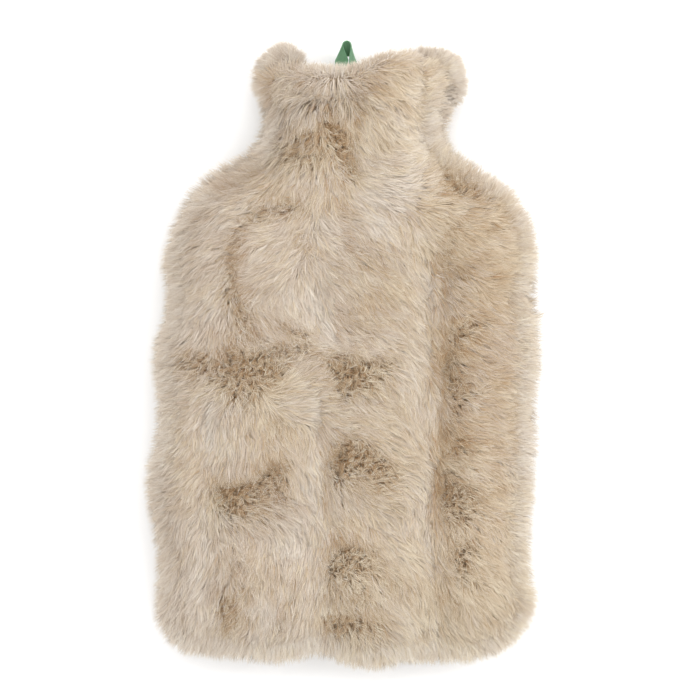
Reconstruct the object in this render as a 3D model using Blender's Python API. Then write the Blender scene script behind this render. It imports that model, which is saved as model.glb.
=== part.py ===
"""Plush cover for a hot water bottle, lying on its back with its neck towards +Y.

Two panels of long-pile fur cloth are sewn together round their edge and left open
across the neck, where the bottle goes in. A ribbon loop is sewn inside the mouth.
Each panel's solid reaches to the tips of its pile. The space for the bottle lies
between them. Metres, +Z up, origin in the middle of the underside.
"""

import math

import bpy
import numpy as np

# Driving sizes
LENGTH = 0.355          # bottom edge to the tips of the collar
SEAM_HEIGHT = 0.021     # plane in which the two panels meet, above the surface
SEAM_GAP = 0.0003       # left between the two panels along the seam
RIM = 0.003             # thickness of a panel right at its outline
FRONT_WALL = 0.0125     # backing and pile of the front panel
EDGE_RADIUS = 0.017     # the front's outline is rounded over this distance
UNDER_RADIUS = 0.016    # the back is rounded over this distance, then lies flat
MOUTH_RADIUS = 0.012    # rounding of the front panel's edge across the mouth
EAR_DROP = 0.006        # how far the back panel's flared collar slopes at its rim
EAR_RADIUS = 0.011
EAR_BLEND = 0.004

# The bottle's space
SEAM_INSET = 0.015      # pile and seam between the outline and the space
BODY_HOLLOW = 0.0105    # half the height of the space in the body
NECK_HOLLOW = 0.0145    # half the height of the space in the neck
BODY_RAMP = 0.034       # the space reaches its height over this distance
NECK_RAMP = 0.020
NECK_FROM, NECK_TO = 0.262, 0.305   # where the body's space turns into the neck's

# Outline: left and right edge of each panel, by distance from the bottom edge
SECTION_COLUMNS = ("along", "left", "right", "back_left", "back_right")
SECTIONS = (
    (0.0000, -0.0900, 0.0850, -0.0900, 0.0850),
    (0.0045, -0.0960, 0.0935, -0.0960, 0.0935),
    (0.0105, -0.1005, 0.0995, -0.1005, 0.0995),
    (0.0180, -0.1052, 0.1048, -0.1052, 0.1048),
    (0.0270, -0.1068, 0.1083, -0.1068, 0.1083),
    (0.0370, -0.1068, 0.1107, -0.1068, 0.1107),
    (0.0530, -0.1055, 0.1068, -0.1055, 0.1072),
    (0.0690, -0.1058, 0.1060, -0.1058, 0.1060),
    (0.0850, -0.1092, 0.1070, -0.1092, 0.1070),
    (0.1010, -0.1119, 0.1090, -0.1119, 0.1090),
    (0.1150, -0.1112, 0.1080, -0.1112, 0.1084),
    (0.1300, -0.1072, 0.1102, -0.1072, 0.1112),
    (0.1460, -0.1050, 0.1078, -0.1050, 0.1090),
    (0.1620, -0.1073, 0.1112, -0.1073, 0.1112),
    (0.1750, -0.1085, 0.1124, -0.1085, 0.1124),
    (0.1900, -0.1055, 0.1107, -0.1055, 0.1116),
    (0.2030, -0.1010, 0.1082, -0.1010, 0.1118),
    (0.2080, -0.1008, 0.1068, -0.1008, 0.1085),
    (0.2210, -0.1012, 0.1092, -0.1012, 0.1110),
    (0.2310, -0.1034, 0.1107, -0.1034, 0.1107),
    (0.2430, -0.0996, 0.1100, -0.1000, 0.1100),
    (0.2540, -0.0955, 0.1076, -0.0962, 0.1076),
    (0.2650, -0.0888, 0.1010, -0.0905, 0.1010),
    (0.2715, -0.0830, 0.0962, -0.0870, 0.0962),
    (0.2770, -0.0755, 0.0900, -0.0825, 0.0900),
    (0.2830, -0.0655, 0.0810, -0.0735, 0.0810),
    (0.2885, -0.0565, 0.0710, -0.0605, 0.0710),
    (0.2935, -0.0518, 0.0625, -0.0530, 0.0625),
    (0.2995, -0.0480, 0.0580, -0.0485, 0.0584),
    (0.3075, -0.0452, 0.0572, -0.0454, 0.0590),
    (0.3160, -0.0454, 0.0566, -0.0460, 0.0638),
    (0.3240, -0.0480, 0.0562, -0.0488, 0.0680),
    (0.3320, -0.0498, 0.0556, -0.0508, 0.0702),
    (0.3400, -0.0480, 0.0540, -0.0500, 0.0680),
)
TOP_SECTION = SECTIONS[-1][0]

# Edge of each panel across the mouth: distance from the bottom edge, by place across
COLLAR_COLUMNS = ("across", "front", "back")
COLLAR = (
    (-0.0500, 0.3320, 0.3420),
    (-0.0440, 0.3368, 0.3480),
    (-0.0385, 0.3388, 0.3525),
    (-0.0320, 0.3398, 0.3540),
    (-0.0255, 0.3402, 0.3515),
    (-0.0190, 0.3406, 0.3450),
    (-0.0120, 0.3404, 0.3370),
    (0.0020, 0.3396, 0.3330),
    (0.0120, 0.3430, 0.3335),
    (0.0210, 0.3466, 0.3385),
    (0.0300, 0.3486, 0.3470),
    (0.0370, 0.3490, 0.3520),
    (0.0440, 0.3470, 0.3530),
    (0.0510, 0.3420, 0.3520),
    (0.0580, 0.3350, 0.3510),
    (0.0640, 0.3320, 0.3470),
    (0.0700, 0.3300, 0.3390),
)
COLLAR_FROM = 0.296     # above this the sections stretch to follow the collar's edge

# Bottom edge: it rises towards both corners and is notched below the middle groove
BOTTOM_COLUMNS = ("across", "lift")
BOTTOM = (
    (-0.0900, 0.0086),
    (-0.0715, 0.0068),
    (-0.0560, 0.0050),
    (-0.0430, 0.0042),
    (-0.0330, 0.0032),
    (-0.0245, 0.0052),
    (-0.0170, 0.0076),
    (-0.0105, 0.0074),
    (-0.0035, 0.0044),
    (0.0060, 0.0014),
    (0.0170, 0.0000),
    (0.0250, 0.0008),
    (0.0330, 0.0036),
    (0.0430, 0.0043),
    (0.0690, 0.0042),
    (0.0850, 0.0070),
)
BOTTOM_FADE = 0.060     # the lift dies away over this distance

# Mounds (+) and hollows (-) of the front's pile, and its three long grooves
SWELL_COLUMNS = ("across", "along", "reach_across", "reach_along", "rise")
SWELLS = (
    (-0.083, 0.174, 0.012, 0.011, 0.0020),
    (-0.052, 0.166, 0.020, 0.013, 0.0034),
    (-0.029, 0.180, 0.015, 0.012, 0.0030),
    (0.014, 0.168, 0.020, 0.014, 0.0034),
    (0.070, 0.170, 0.015, 0.020, 0.0030),
    (-0.038, 0.107, 0.013, 0.011, 0.0032),
    (-0.060, 0.094, 0.014, 0.010, 0.0026),
    (0.012, 0.116, 0.018, 0.014, 0.0034),
    (0.073, 0.112, 0.015, 0.018, 0.0034),
    (0.007, 0.056, 0.018, 0.014, 0.0034),
    (-0.052, 0.040, 0.020, 0.015, 0.0028),
    (0.012, 0.025, 0.018, 0.010, 0.0026),
    (0.078, 0.060, 0.016, 0.024, 0.0028),
    (-0.045, 0.228, 0.024, 0.020, 0.0028),
    (0.018, 0.236, 0.024, 0.019, 0.0024),
    (0.078, 0.230, 0.018, 0.028, 0.0030),
    (-0.082, 0.236, 0.014, 0.024, 0.0022),
    (-0.094, 0.110, 0.012, 0.030, 0.0018),
    (-0.052, 0.136, 0.024, 0.012, -0.0026),
    (-0.044, 0.076, 0.024, 0.010, -0.0024),
    (0.010, 0.086, 0.018, 0.010, -0.0020),
    (-0.052, 0.274, 0.026, 0.008, -0.0030),
    (0.060, 0.278, 0.014, 0.012, -0.0032),
    (0.004, 0.292, 0.007, 0.022, -0.0026),
    (0.030, 0.312, 0.014, 0.016, 0.0020),
    (-0.025, 0.312, 0.013, 0.018, 0.0020),
)
GROOVE_COLUMNS = ("across", "from_along", "to_along", "half_width", "depth")
GROOVES = (
    (-0.073, 0.012, 0.150, 0.0075, 0.0034),
    (-0.013, 0.006, 0.152, 0.0080, 0.0042),
    (-0.012, 0.188, 0.222, 0.0085, 0.0036),
    (0.051, 0.012, 0.236, 0.0080, 0.0046),
)
GROOVE_END = 0.016      # a groove dies away over this distance
SWELL_FADE = 0.024      # the relief fades out this near the outline

# Fineness of the panels' grids
COLUMNS = 30
EDGE_ROWS = 6
EDGE_ROWS_REACH = 0.020
BODY_ROW = 0.0082
MOUTH_ROWS = 5
MOUTH_ROWS_REACH = 0.014
EDGE_CROWDING = 0.45    # share by which columns gather towards the outline

# Ribbon loop: ribs across the ribbon, from the loop's top down each leg to a sewn end.
# A rib runs from the ribbon's upper edge to its lower one. Millimetres: out is away from
# the loop's middle, where a minus sign means that the edge has crossed it, and down is
# from the loop's top.
RIBBON_WIDTH = 0.0110
RIBBON_THICKNESS = 0.0009
LOOP_ACROSS = 0.0025
LOOP_TOP = 0.3563
LOOP_BASE = 0.0073      # height at which the ribbon's lower edge runs
RIB_COLUMNS = ("upper_out", "upper_down", "lower_out", "lower_down")
TOP_RIB = (0.0, 0.0, 0.0, 8.0)
LEFT_RIBS = (
    (1.8, 0.7, 4.2, 8.3),
    (2.5, 2.4, 6.3, 9.7),
    (1.7, 4.8, 6.8, 12.3),
    (0.5, 7.8, 6.7, 14.8),
    (-0.6, 10.8, 6.6, 17.0),
    (-0.4, 14.0, 7.3, 19.8),
    (1.0, 18.0, 9.3, 22.5),
    (2.6, 23.0, 11.8, 26.0),
    (3.5, 28.0, 13.3, 29.0),
)
RIGHT_RIBS = (
    (1.5, 0.7, 3.2, 8.3),
    (2.3, 2.4, 4.6, 10.2),
    (2.2, 4.7, 5.8, 12.3),
    (1.7, 7.6, 6.3, 14.8),
    (1.4, 10.8, 6.6, 17.6),
    (1.8, 14.0, 7.8, 20.4),
    (2.4, 18.0, 9.6, 24.0),
    (3.4, 23.0, 12.0, 27.0),
    (3.8, 28.0, 13.5, 29.5),
)
RIB_STEPS = 3           # steps from one rib to the next

# Finishes: colour, roughness
FUR_COLOUR, FUR_ROUGHNESS = (0.60, 0.50, 0.38), 0.95
RIBBON_COLOUR, RIBBON_ROUGHNESS = (0.17, 0.33, 0.19), 0.6


def column(rows, names, name):
    """One named column of a table."""
    return np.array([row[names.index(name)] for row in rows])


def smooth(at, xs, ys):
    """Cubic pieces through (xs, ys), read at each value of at, with no overshoot."""
    at = np.clip(at, xs[0], xs[-1])
    steps = np.diff(xs)
    rises = np.diff(ys) / steps
    slopes = np.concatenate([rises[:1], (rises[:-1] + rises[1:]) / 2, rises[-1:]])
    slopes[1:-1][rises[:-1] * rises[1:] <= 0] = 0
    piece = np.clip(np.searchsorted(xs, at, side="right") - 1, 0, len(steps) - 1)
    step = steps[piece]
    t = (at - xs[piece]) / step
    start = ys[piece] * (1 + 2 * t) * (1 - t) ** 2
    end = ys[piece + 1] * t * t * (3 - 2 * t)
    leave = slopes[piece] * step * t * (1 - t) ** 2
    arrive = slopes[piece + 1] * step * t * t * (t - 1)
    return start + end + leave + arrive


def ease(t):
    """0 to 1 with level ends."""
    t = np.clip(t, 0, 1)
    return t * t * (3 - 2 * t)


def rounded(distance, radius):
    """A quarter circle's height share, this far in from its edge."""
    t = np.clip(distance / radius, 0, 1)
    return np.sqrt(1 - (1 - t) ** 2)


def section_rows():
    """Distances along the cover at which the panels' grids have a row."""
    turn = np.linspace(0, math.pi / 2, EDGE_ROWS)
    bottom = EDGE_ROWS_REACH * (1 - np.cos(turn))
    start, stop = EDGE_ROWS_REACH, TOP_SECTION - MOUTH_ROWS_REACH
    body = np.linspace(start, stop, round((stop - start) / BODY_ROW) + 1)[1:-1]
    turn = np.linspace(0, math.pi / 2, MOUTH_ROWS)
    mouth = stop + MOUTH_ROWS_REACH * np.sin(turn)
    return np.concatenate([bottom, body, mouth])


def plan_grid(left_name, right_name, collar_name):
    """Places across and along of a panel's grid points, row by row from the bottom."""
    rows = section_rows()
    along = column(SECTIONS, SECTION_COLUMNS, "along")
    left = smooth(rows, along, column(SECTIONS, SECTION_COLUMNS, left_name))
    right = smooth(rows, along, column(SECTIONS, SECTION_COLUMNS, right_name))
    even = np.linspace(-1, 1, COLUMNS + 1)
    gathered = np.sin(even * math.pi / 2)
    share = (even + EDGE_CROWDING * (gathered - even) + 1) / 2
    x = left[:, None] + (right - left)[:, None] * share[None, :]
    s = np.repeat(rows[:, None], COLUMNS + 1, axis=1)
    lift = smooth(
        x,
        column(BOTTOM, BOTTOM_COLUMNS, "across"),
        column(BOTTOM, BOTTOM_COLUMNS, "lift"),
    )
    y = s + lift * (1 - ease(s / BOTTOM_FADE))
    edge = smooth(
        x,
        column(COLLAR, COLLAR_COLUMNS, "across"),
        column(COLLAR, COLLAR_COLUMNS, collar_name),
    )
    reach = np.clip((s - COLLAR_FROM) / (TOP_SECTION - COLLAR_FROM), 0, 1)
    y = y + reach**2 * (edge - TOP_SECTION)
    return x, y


def distance_to(line, x, y):
    """Shortest distance in plan from each point to a polyline."""
    nearest = np.full(x.shape, 1.0)
    for (ax, ay), (bx, by) in zip(line[:-1], line[1:]):
        dx, dy = bx - ax, by - ay
        t = np.clip(((x - ax) * dx + (y - ay) * dy) / (dx * dx + dy * dy), 0, 1)
        nearest = np.minimum(nearest, np.hypot(x - ax - t * dx, y - ay - t * dy))
    return nearest


def side_line(x, y):
    """The sewn edge of a panel: down its left side, along the bottom, up the right."""
    left = list(zip(x[::-1, 0], y[::-1, 0]))
    bottom = list(zip(x[0, 1:-1], y[0, 1:-1]))
    right = list(zip(x[:, -1], y[:, -1]))
    return left + bottom + right


def mouth_line(x, y):
    return list(zip(x[-1], y[-1]))


def outside(outline, x, y):
    """True where a point lies outside a closed outline."""
    inside = np.zeros(x.shape, bool)
    for (ax, ay), (bx, by) in zip(outline, outline[1:] + outline[:1]):
        if ay == by:
            continue
        crosses = (ay > y) != (by > y)
        inside ^= crosses & (x < ax + (y - ay) * (bx - ax) / (by - ay))
    return ~inside


def hollow(front_side, x, y):
    """Half the height of the bottle's space."""
    neck = ease((y - NECK_FROM) / (NECK_TO - NECK_FROM))
    height = BODY_HOLLOW + neck * (NECK_HOLLOW - BODY_HOLLOW)
    ramp = BODY_RAMP + neck * (NECK_RAMP - BODY_RAMP)
    t = np.clip((distance_to(front_side, x, y) - SEAM_INSET) / ramp, 0, 1)
    return height * t * (2 - t)


def relief(x, y):
    """Mounds, hollows and grooves of the front's pile."""
    height = np.zeros(x.shape)
    for across, along, reach_across, reach_along, rise in SWELLS:
        far = ((x - across) / reach_across) ** 2 + ((y - along) / reach_along) ** 2
        height += rise * np.exp(-far)
    for across, start, stop, half_width, depth in GROOVES:
        ends = ease((y - start) / GROOVE_END + 0.5) * ease((stop - y) / GROOVE_END + 0.5)
        height -= depth * ends * np.exp(-(((x - across) / half_width) ** 2))
    return height


def sheet_between(name, x, y, low, high, material):
    """A closed solid between two height fields over the same grid."""
    rows, columns = x.shape
    count = rows * columns
    middle = LENGTH / 2
    points = [
        (px, py - middle, pz)
        for field in (low, high)
        for px, py, pz in zip(x.ravel(), y.ravel(), field.ravel())
    ]
    faces = []
    for j in range(rows - 1):
        for i in range(columns - 1):
            a = j * columns + i
            b, c, d = a + 1, a + columns + 1, a + columns
            faces.append((a, d, c, b))
            faces.append((a + count, b + count, c + count, d + count))
    rim = list(range(columns))
    rim += [j * columns + columns - 1 for j in range(1, rows)]
    rim += [(rows - 1) * columns + i for i in range(columns - 2, -1, -1)]
    rim += [j * columns for j in range(rows - 2, 0, -1)]
    for a, b in zip(rim, rim[1:] + rim[:1]):
        faces.append((a, b, b + count, a + count))
    return add_mesh(name, points, faces, material)


def add_mesh(name, points, faces, material):
    mesh = bpy.data.meshes.new(name)
    mesh.from_pydata(points, [], faces)
    mesh.materials.append(material)
    mesh.shade_smooth()
    mesh.set_sharp_from_angle(angle=math.radians(50))
    obj = bpy.data.objects.new(name, mesh)
    bpy.context.scene.collection.objects.link(obj)
    return obj


def finish_of(name, colour, roughness):
    material = bpy.data.materials.new(name)
    material.use_nodes = True
    shader = material.node_tree.nodes["Principled BSDF"]
    shader.inputs["Base Color"].default_value = (*colour, 1)
    shader.inputs["Roughness"].default_value = roughness
    shader.inputs["Metallic"].default_value = 0
    return material


def front_panel(fur):
    x, y = plan_grid("left", "right", "front")
    side = side_line(x, y)
    from_side = distance_to(side, x, y)
    from_mouth = distance_to(mouth_line(x, y), x, y)
    low = SEAM_HEIGHT + SEAM_GAP / 2 + hollow(side, x, y)
    swell = rounded(from_side, EDGE_RADIUS) * rounded(from_mouth, MOUTH_RADIUS)
    fade = ease(np.minimum(from_side, from_mouth) / SWELL_FADE)
    high = low + RIM + (FRONT_WALL - RIM) * swell + fade * relief(x, y)
    return sheet_between("front_panel", x, y, low, high, fur)


def back_panel(fur):
    front_x, front_y = plan_grid("left", "right", "front")
    front_side = side_line(front_x, front_y)
    front_outline = front_side + mouth_line(front_x, front_y)[-2:0:-1]
    x, y = plan_grid("back_left", "back_right", "back")
    from_edge = distance_to(side_line(x, y) + mouth_line(x, y)[-2::-1], x, y)
    space = np.where(outside(front_outline, x, y), 0, hollow(front_side, x, y))
    past_front = distance_to(front_outline, x, y) * outside(front_outline, x, y)
    slope = (1 - rounded(from_edge, EAR_RADIUS)) * ease(past_front / EAR_BLEND)
    high = SEAM_HEIGHT - SEAM_GAP / 2 - space - EAR_DROP * slope
    low = (high - RIM) * (1 - rounded(from_edge, UNDER_RADIUS))
    return sheet_between("back_panel", x, y, low, high, fur)


def loop_edges():
    """The ribbon's upper and lower edge, from one sewn end to the other."""
    left = [(-a, b, -c, d) for a, b, c, d in LEFT_RIBS[::-1]]
    ribs = np.array(left + [TOP_RIB] + list(RIGHT_RIBS)) / 1000
    places = np.arange(len(ribs), dtype=float)
    steps = np.linspace(0, len(ribs) - 1, (len(ribs) - 1) * RIB_STEPS + 1)
    upper_out, upper_down, lower_out, lower_down = (
        smooth(steps, places, ribs[:, k]) for k in range(len(RIB_COLUMNS))
    )
    level = np.hypot(upper_out - lower_out, upper_down - lower_down)
    rise = np.sqrt(np.maximum(RIBBON_WIDTH**2 - level**2, 0))
    top = LOOP_TOP - LENGTH / 2
    base = np.full(len(steps), LOOP_BASE)
    upper = np.stack([LOOP_ACROSS + upper_out, top - upper_down, base + rise], 1)
    lower = np.stack([LOOP_ACROSS + lower_out, top - lower_down, base], 1)
    return upper, lower


def hanging_loop(ribbon):
    upper, lower = loop_edges()
    through = np.cross(np.gradient((upper + lower) / 2, axis=0), upper - lower)
    through *= RIBBON_THICKNESS / 2 / np.linalg.norm(through, axis=1, keepdims=True)
    corners = np.stack(
        [lower - through, upper - through, upper + through, lower + through], 1
    )
    points = [tuple(corner) for corner in corners.reshape(-1, 3)]
    faces = []
    for k in range(len(upper) - 1):
        for corner in range(4):
            a, b = 4 * k + corner, 4 * k + (corner + 1) % 4
            faces.append((a, b, b + 4, a + 4))
    last = 4 * (len(upper) - 1)
    faces.append((3, 2, 1, 0))
    faces.append((last, last + 1, last + 2, last + 3))
    return add_mesh("hanging_loop", points, faces, ribbon)


def main():
    for obj in list(bpy.data.objects):
        bpy.data.objects.remove(obj)
    fur = finish_of("fur", FUR_COLOUR, FUR_ROUGHNESS)
    ribbon = finish_of("ribbon", RIBBON_COLOUR, RIBBON_ROUGHNESS)
    front_panel(fur)
    back_panel(fur)
    hanging_loop(ribbon)


main()
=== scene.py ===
"""Plush hot water bottle cover: the finish of its fur, backing and ribbon loop.

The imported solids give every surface. Their walls become thin knitted backings, and
the space between a backing and the solid's outer face is filled with combed strands.
"""

import math

import bpy
import numpy as np
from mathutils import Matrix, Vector
from mathutils.bvhtree import BVHTree


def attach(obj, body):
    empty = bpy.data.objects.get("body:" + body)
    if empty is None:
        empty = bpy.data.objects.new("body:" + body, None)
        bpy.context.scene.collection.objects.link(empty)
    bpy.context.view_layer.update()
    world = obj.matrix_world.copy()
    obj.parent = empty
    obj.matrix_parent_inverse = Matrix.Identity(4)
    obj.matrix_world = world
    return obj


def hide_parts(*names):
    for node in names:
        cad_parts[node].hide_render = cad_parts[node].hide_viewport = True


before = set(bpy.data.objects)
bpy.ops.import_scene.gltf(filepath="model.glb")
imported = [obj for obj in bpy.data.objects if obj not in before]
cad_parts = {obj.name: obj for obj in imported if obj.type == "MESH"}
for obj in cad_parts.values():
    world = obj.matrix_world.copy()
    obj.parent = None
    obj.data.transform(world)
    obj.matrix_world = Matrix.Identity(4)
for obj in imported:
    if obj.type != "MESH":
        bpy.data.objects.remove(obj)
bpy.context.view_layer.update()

# The photograph's frame: the cover's middle lies a little off the picture's middle
FRAME_WIDTH = 0.3955
FRAME_CENTRE = (0.0042, 0.0034)
CAMERA_HEIGHT = 1.6
OUTLINE_HEIGHT = 0.021
SENSOR = 36  # millimetres
FLOOR_REACH, FLOOR_LEVEL = 3.0, -0.0003
SKY_STRENGTH = 1.21
SOFTBOX_COLUMNS = ("name", "place", "size", "watts", "colour")
SOFTBOXES = (
    ("key", (1.25, 0.55, 1.15), (1.0, 1.0), 11, (1.0, 0.99, 0.98)),
    ("top", (-0.2, 0.9, 1.5), (1.2, 0.9), 5, (1, 1, 1)),
)

# Plan maps read from the solids
CELL = 0.001
MAP_X = np.arange(-0.13, 0.1305, CELL)
MAP_Y = np.arange(-0.192, 0.1925, CELL)
MAP_TOP, MAP_BOTTOM = 0.2, -0.1  # rays start from here
FAR_OFF = 9.0  # further than any distance in the maps

# Cloth and pile
BACKING = 0.002  # thickness of the knitted backing
BACKING_GAP = 0.0002
SIDE_INSET = 0.0095  # the pile reaches this far past the backing's sewn edge
MOUTH_INSET = 0.0045
MOUTH_FROM, MOUTH_TO = 0.142, 0.154
MOUTH_FACING = (0.45, 0.75)  # how far the mouth's edge faces the neck's end
BACKING_GRID = 0.0035
BACKING_CREASE, RIBBON_CREASE = 60, 50  # degrees
BACKING_KEPT, BACKING_MOVED = -0.75, 0.3  # cells from its edge that are moved onto it
PILE = 0.0135  # length of a strand of pile
EDGE_PILE = 0.016  # of the longest strands, which fan out round the sewn edge
PILE_HEIGHT = 0.0065  # of the combed pile over its backing
OVERREACH = 0.002  # the pile reaches this far past the solid's outline
SPILL = 0.006  # and this much further where the other panel lies beyond it
BLADE_WIDTH = 0.0004  # of a strand drawn from its root
HAIR_WIDTH = 0.00031  # of a fine hair, drawn only where it shows above the blades
BACK_BLADE_WIDTH, BACK_HAIR_WIDTH = 1.6 * BLADE_WIDTH, 1.3 * HAIR_WIDTH
FRONT_BLADES, FRONT_HAIRS = 100000, 300000
BACK_BLADES, BACK_HAIRS = 40000, 50000
COLLAR_BLADES, COLLAR_HAIRS = 10000, 24000
PIECE_TRIANGLES = 190000
LOCK = 0.0015  # size of a lock, whose strands meet at their tips
FINE_LOCK = 0.0011  # where the pile parts
SEAM_RISE = 0.014  # the backings bend towards their seam over this distance
EAR_EDGE = 0.006  # the back's collar bends up over this distance past the front
FAN_ZONE = 0.014  # the pile fans out over this distance from a sewn edge
MOUTH_FAN_ZONE = 0.006
SEEN = 0.0055  # a combed strand shows this far from its root
STRAY = 0.0015  # and about this much to any side, which softens the marks
MOUTH_REACH = 0.001  # the hem's pile stands this much further out
FRINGE = 0.0004  # typical length of the hairs that stray past the outline
PITS = 0.38  # share of the locks that sink where the pile parts
INNER_ROOTS = 0.45  # density of the roots well inside the edge, next to 1 along it
DENSE_EDGE, DENSE_FADE = 0.008, 0.006
LOWEST = (0.0004, 0.0012)  # heights at which the pile below meets the floor

# Which way the pile is combed: place from the middle and heading, in millimetres and
# degrees, where 0 is to the right and 90 towards the neck
COMB_COLUMNS = ("x", "y", "heading")
COMB = (
    (-45, 164, 150), (-36, 173, 105), (-48, 147, 200), (-24, 164, 188), (-10, 164, 222),
    (4, 164, 315), (16, 165, 340), (28, 168, 355), (47, 161, 20), (47, 174, 60),
    (64, 162, 20), (61, 142, 340), (-42, 155, 188), (-30, 155, 198), (-19, 156, 215),
    (-6, 156, 268), (8, 156, 318), (20, 156, 332), (33, 155, 345), (45, 153, 358),
    (-38, 136, 235), (-24, 145, 238), (-24, 125, 226), (-41, 122, 222), (-7, 139, 288),
    (1, 122, 285), (16, 139, 310), (18, 125, 320), (30, 133, 268), (44, 145, 25),
    (47, 128, 12), (32, 108, 30), (44, 105, 22), (55, 116, 45), (64, 113, 80),
    (78, 105, 60), (89, 97, 48), (100, 85, 25), (106, 66, 5), (109, 37, 0),
    (109, 3, 355), (109, -36, 350), (106, -81, 345), (106, -115, 330), (106, -144, 315),
    (92, -163, 295), (66, -169, 277), (32, -169, 270), (1, -169, 268), (-30, -169, 262),
    (-58, -166, 252), (-86, -160, 235), (-103, -144, 225), (-103, -115, 238),
    (-106, -81, 212), (-109, -53, 200), (-103, -25, 190), (-106, -2, 193),
    (-100, 26, 208), (-100, 49, 184), (-95, 77, 195), (-81, 102, 200), (-58, 111, 202),
    (-86, 71, 210), (-69, 88, 212), (-52, 77, 205), (-35, 82, 252), (-24, 97, 260),
    (-47, 102, 215), (-44, 59, 200), (-64, 43, 215), (-30, 65, 192), (-4, 60, 335),
    (-13, 43, 285), (1, 37, 305), (16, 54, 325), (1, 68, 330), (24, 74, 308),
    (32, 54, 292), (16, 32, 335), (27, 9, 335), (44, 26, 272), (44, -25, 270),
    (44, -81, 270), (49, -132, 288), (58, 20, 305), (61, 71, 320), (61, 49, 335),
    (78, 66, 355), (78, 32, 345), (89, 3, 350), (72, -19, 345), (89, -42, 350),
    (69, -70, 330), (89, -81, 343), (64, -104, 290), (78, -115, 315), (95, -127, 308),
    (78, -144, 303), (55, -149, 290), (32, -132, 305), (24, -115, 335), (10, -129, 300),
    (21, -149, 312), (-1, -155, 275), (-18, -138, 262), (-18, -104, 268),
    (-18, -53, 272), (-1, -81, 292), (10, -104, 285), (10, -53, 340), (24, -70, 342),
    (21, -36, 335), (4, -22, 345), (-24, -19, 20), (-64, 9, 300), (-47, 18, 318),
    (-75, 15, 225), (-86, -19, 205), (-72, -42, 262), (-52, -36, 272), (-89, -59, 222),
    (-64, -64, 262), (-41, -59, 285), (-52, -81, 345), (-89, -93, 225),
    (-81, -115, 250), (-92, -138, 240), (-64, -104, 268), (-41, -110, 268),
    (-52, -138, 250), (-35, -149, 256), (-69, -155, 245),
)
COMB_REACH = 11.0  # millimetres
HEM = 150.0  # past this the pile is short and brushed up round the mouth
HEM_REACH = 6.0
FAINT = 1e-9  # weight of a row far away, for places that have none near
AGREEMENT = (0.8, 0.3)  # where neighbours agree less, strands cross more
CROSSING = 1.2
BATCHES = 8  # keeps the tables of distances small

# Soft spots of the pile: ellipses whose reach_x axis is turned by turn degrees. The
# pile stands up (+) or is pressed flat (-), in percent. The shade column is painted
# shade (+) in valleys, creases and tufts, and painted light (-) on ridges and rims.
MARK_COLUMNS = ("x", "y", "reach_x", "reach_y", "turn", "stand", "shade")
NECK_MARKS = (
    (-1, 116, 16, 6, -65, 80, 34), (-6, 126, 7, 5, 0, 50, 20),
    (-19, 124, 5, 4, 0, 50, 20), (-26, 111, 7, 3, 25, 50, 14),
    (-31, 141, 7, 3, 60, 30, 22), (-42, 138, 16, 3, 85, 0, 22),
    (-25, 150, 8, 3, 30, 20, 10), (-14, 112, 14, 9, 0, 30, 10),
    (18, 145, 14, 4, 65, 20, 17), (15, 131, 8, 5, 45, 20, 8), (33, 140, 4, 4, 0, 20, 8),
    (38, 118, 12, 30, -10, -60, -8), (50, 148, 3, 16, -5, -30, -2),
    (-36, 130, 4, 14, -20, 0, -5),
)
SHOULDER_MARKS = (
    (-59, 95, 18, 7, 24, 30, 30), (-46, 106, 5, 4, 0, 30, 8),
    (-88, 88, 14, 5, 50, -30, -8), (-58, 74, 7, 5, 30, 20, -7),
    (-46, 77, 4, 4, 0, 60, 20), (-56, 66, 9, 5, 60, 80, 22),
    (-60, 49, 15, 6, 92, 80, 24), (-58, 27, 12, 7, 95, 70, 20),
    (-52, 17, 9, 5, -30, 30, 10), (-80, 74, 12, 4, 75, 10, 7),
    (-24, 85, 6, 3, 30, 40, 10), (-22, 62, 6, 3, -20, 20, 10),
    (-38, 80, 10, 4, 20, 30, 6), (3, 75, 16, 5, -65, 30, 16),
    (10, 57, 9, 6, -20, 30, 14), (-4, 52, 12, 5, -60, 10, 7),
    (24, 48, 8, 5, -20, 20, 10), (-14, 72, 4, 12, 0, -30, -6),
    (20, 76, 16, 5, -58, -60, -10), (30, 92, 12, 14, 0, -70, -10),
    (56, 103, 5, 10, 10, 80, 18), (64, 93, 9, 6, -10, 100, 24),
    (78, 88, 10, 6, -20, 50, 14), (92, 76, 8, 4, -50, 30, 12),
    (82, 70, 6, 2.5, 0, 60, 22), (60, 70, 8, 8, 0, 30, 10), (56, 54, 6, 8, 0, 40, 12),
    (68, 48, 5, 3, 0, 30, 10), (-31, 82, 12, 6, 0, 70, 14),
    (-22, 62, 7, 3, -20, 40, 10), (3, 104, 7, 6, -60, 70, 20),
    (66, 98, 10, 7, 0, 50, 12), (27, 159, 8, 2, 10, 0, 16),
    (12, 150, 6, 8, -30, 20, 13), (24, 144, 5, 2, -15, 30, 20),
    (14, 128, 3, 14, -15, -40, -12), (19, 140, 3, 8, -10, -30, -12),
    (8, 128, 3, 12, -15, 20, 13), (-4, 122, 14, 6, -65, 50, 12),
    (-26, 118, 12, 9, 0, 50, 9),
)
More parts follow.
